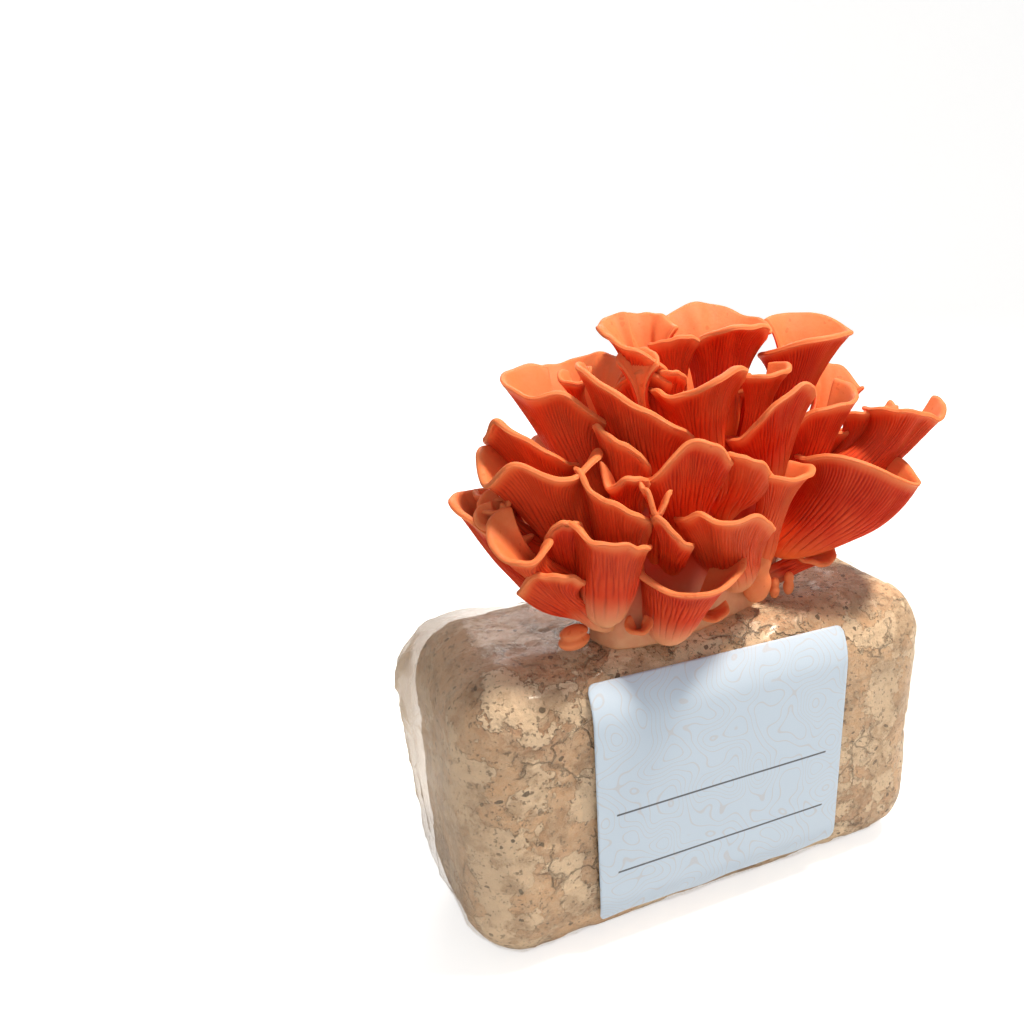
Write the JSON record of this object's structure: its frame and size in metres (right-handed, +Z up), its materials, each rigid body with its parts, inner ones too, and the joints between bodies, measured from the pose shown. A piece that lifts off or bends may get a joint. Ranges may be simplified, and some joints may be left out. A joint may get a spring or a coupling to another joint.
{
  "type": "mushroom grow kit",
  "caption": "Bag-wrapped sawdust block lying on its long side, with a paper label and a bouquet of pink oyster mushrooms growing from a cut in its top.",
  "frame": {"origin": "the middle of the block's flat underside", "axes": "+Z up; +X along the block towards its squared end; the label and most of the gills face -Y"},
  "size_m": [0.2251, 0.1097, 0.2338],
  "materials": {
    "film": "thin clear plastic film, slightly milky and wrinkled",
    "mycelium": "damp sawdust bound by cream mycelium, mottled and cracked",
    "paper": "pale blue uncoated label paper",
    "flesh": "matte coral mushroom flesh with fine gills",
    "foot": "paler matte mushroom flesh"
  },
  "bodies": {
    "root": {"substrate_block": "mycelium", "grow_bag": "film", "paper_label": "paper", "cluster_foot": "foot", "bud_left": "flesh", "pin_front": "flesh", "pin_right": "flesh", "cap_front_bowl": "flesh", "cap_front_middle": "flesh", "cap_front_left": "flesh", "cap_low_left": "flesh", "cap_low_middle": "flesh", "cap_tube": "flesh", "cap_right_big": "flesh", "cap_right_under": "flesh", "cap_centre": "flesh", "cap_centre_right": "flesh", "cap_third_row": "flesh", "cap_left_middle": "flesh", "cap_far_left": "flesh", "cap_curl": "flesh", "cap_second_row": "flesh", "cap_left_small": "flesh", "cap_left_upper": "flesh", "cap_slanted": "flesh", "cap_upper_middle": "flesh", "cap_upper_small": "flesh", "cap_right_fan": "flesh", "cap_right_middle": "flesh", "cap_far_right": "flesh", "cap_top_right": "flesh", "cap_top_middle": "flesh", "cap_top_left": "flesh", "cap_tucked_left": "flesh", "cap_tucked_low": "flesh", "cap_behind_left": "flesh", "cap_behind_middle": "flesh", "cap_behind_slanted": "flesh", "cap_back_far_left": "flesh", "cap_back_left": "flesh", "cap_back_middle": "flesh", "cap_back_right": "flesh", "cap_back_far_right": "flesh", "cap_back_upper_left": "flesh", "cap_back_upper_middle": "flesh", "cap_back_upper_right": "flesh", "cap_back_end": "flesh", "cap_back_top": "flesh"}
  },
  "joints": []
}
